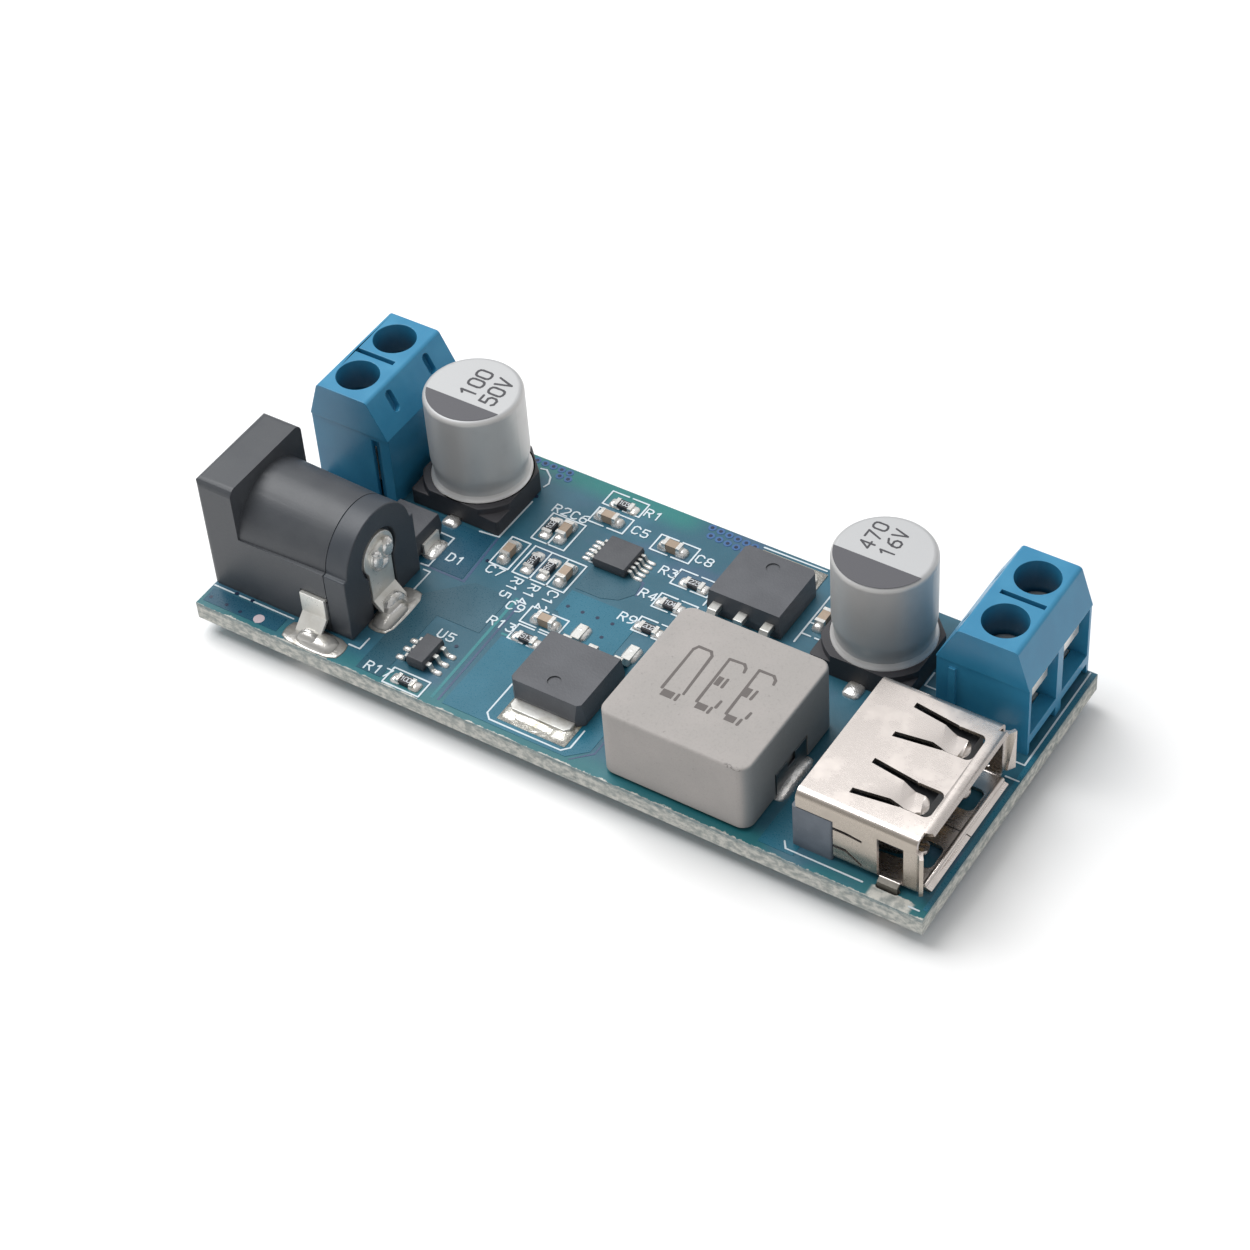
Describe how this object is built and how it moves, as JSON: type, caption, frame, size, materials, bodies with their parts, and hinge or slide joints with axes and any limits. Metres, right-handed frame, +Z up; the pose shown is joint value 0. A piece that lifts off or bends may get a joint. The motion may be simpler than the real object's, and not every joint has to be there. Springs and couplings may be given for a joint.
{
  "type": "buck converter module",
  "caption": "Step-down converter board with a barrel jack, screw terminals at both ends, a USB socket, power inductor and electrolytic capacitors.",
  "frame": {"origin": "the board's corner beside the barrel jack, on the underside of the board", "axes": "+X along the board from the jack end to the USB end, +Y across the board away from the jack's side, +Z up out of the component side"},
  "size_m": [0.0642, 0.0271, 0.014],
  "materials": {
    "board_laminate": "satin",
    "jack_plastic": "satin",
    "terminal_plastic": "satin",
    "clamp_tin": "satin",
    "screw_steel": "satin",
    "contact_tin": "satin",
    "can_aluminium": "satin",
    "seat_plastic": "matte",
    "pressed_powder": "matte",
    "shell_nickel": "satin",
    "insulator_plastic": "matte",
    "contact_brass": "polished",
    "solder": "polished",
    "epoxy": "matte",
    "resistor_ceramic": "matte",
    "capacitor_ceramic": "matte",
    "lead_tin": "satin"
  },
  "bodies": {
    "module": {"capacitor_ceramics": "capacitor_ceramic", "capacitor_ends": "lead_tin", "circuit_board": "board_laminate", "controller_body": "epoxy", "controller_leads": "lead_tin", "diode_body": "epoxy", "diode_terminals": "lead_tin", "high_side_transistor_body": "epoxy", "high_side_transistor_leads": "lead_tin", "inductor_body": "pressed_powder", "inductor_terminals": "lead_tin", "input_capacitor_base": "seat_plastic", "input_capacitor_can": "can_aluminium", "input_capacitor_leads": "lead_tin", "jack_centre_pin": "contact_tin", "jack_housing": "jack_plastic", "jack_pin_terminal": "contact_tin", "jack_rear_cap": "jack_plastic", "jack_spring_contact": "contact_tin", "jack_switch_contact": "contact_tin", "left_terminal_contact_1": "clamp_tin", "left_terminal_contact_2": "clamp_tin", "left_terminal_housing": "terminal_plastic", "low_side_transistor_body": "epoxy", "low_side_transistor_leads": "lead_tin", "output_capacitor_base": "seat_plastic", "output_capacitor_can": "can_aluminium", "output_capacitor_leads": "lead_tin", "port_chip_body": "epoxy", "port_chip_leads": "lead_tin", "resistor_ceramics": "resistor_ceramic", "resistor_ends": "lead_tin", "right_terminal_contact_1": "clamp_tin", "right_terminal_contact_2": "clamp_tin", "right_terminal_housing": "terminal_plastic", "solder_joints": "solder", "solder_pools": "solder", "usb_contacts": "contact_brass", "usb_insulator": "insulator_plastic", "usb_shell": "shell_nickel"},
    "left_clamp_plate_1": {"left_clamp_plate_1": "clamp_tin"},
    "left_clamp_screw_1": {"left_clamp_screw_1": "screw_steel"},
    "left_clamp_plate_2": {"left_clamp_plate_2": "clamp_tin"},
    "left_clamp_screw_2": {"left_clamp_screw_2": "screw_steel"},
    "right_clamp_plate_1": {"right_clamp_plate_1": "clamp_tin"},
    "right_clamp_screw_1": {"right_clamp_screw_1": "screw_steel"},
    "right_clamp_plate_2": {"right_clamp_plate_2": "clamp_tin"},
    "right_clamp_screw_2": {"right_clamp_screw_2": "screw_steel"}
  },
  "joints": [
    {"name": "left_plate_1_travel", "type": "slide", "parent": "module", "child": "left_clamp_plate_1", "axis": [0, 0, 1], "range_m": [-0.0006, 0.0011]},
    {"name": "left_screw_1_turn", "type": "hinge", "parent": "left_clamp_plate_1", "child": "left_clamp_screw_1", "pos_m": [0.00325, 0.01905, 0.0076], "axis": [0, 0, 1], "range_deg": [-480, 880]},
    {"name": "left_plate_2_travel", "type": "slide", "parent": "module", "child": "left_clamp_plate_2", "axis": [0, 0, 1], "range_m": [-0.0006, 0.0011]},
    {"name": "left_screw_2_turn", "type": "hinge", "parent": "left_clamp_plate_2", "child": "left_clamp_screw_2", "pos_m": [0.00325, 0.02405, 0.0076], "axis": [0, 0, 1], "range_deg": [-480, 880]},
    {"name": "right_plate_1_travel", "type": "slide", "parent": "module", "child": "right_clamp_plate_1", "axis": [0, 0, 1], "range_m": [-0.0006, 0.0011]},
    {"name": "right_screw_1_turn", "type": "hinge", "parent": "right_clamp_plate_1", "child": "right_clamp_screw_1", "pos_m": [0.0598, 0.02458, 0.0076], "axis": [0, 0, 1], "range_deg": [-480, 880]},
    {"name": "right_plate_2_travel", "type": "slide", "parent": "module", "child": "right_clamp_plate_2", "axis": [0, 0, 1], "range_m": [-0.0006, 0.0011]},
    {"name": "right_screw_2_turn", "type": "hinge", "parent": "right_clamp_plate_2", "child": "right_clamp_screw_2", "pos_m": [0.0598, 0.01958, 0.0076], "axis": [0, 0, 1], "range_deg": [-480, 880]}
  ],
  "couplings": [
    {"joint": "left_screw_1_turn", "follows": "left_plate_1_travel", "rad_per_m": 13962},
    {"joint": "left_screw_2_turn", "follows": "left_plate_2_travel", "rad_per_m": 13962},
    {"joint": "right_screw_1_turn", "follows": "right_plate_1_travel", "rad_per_m": 13962},
    {"joint": "right_screw_2_turn", "follows": "right_plate_2_travel", "rad_per_m": 13962}
  ]
}
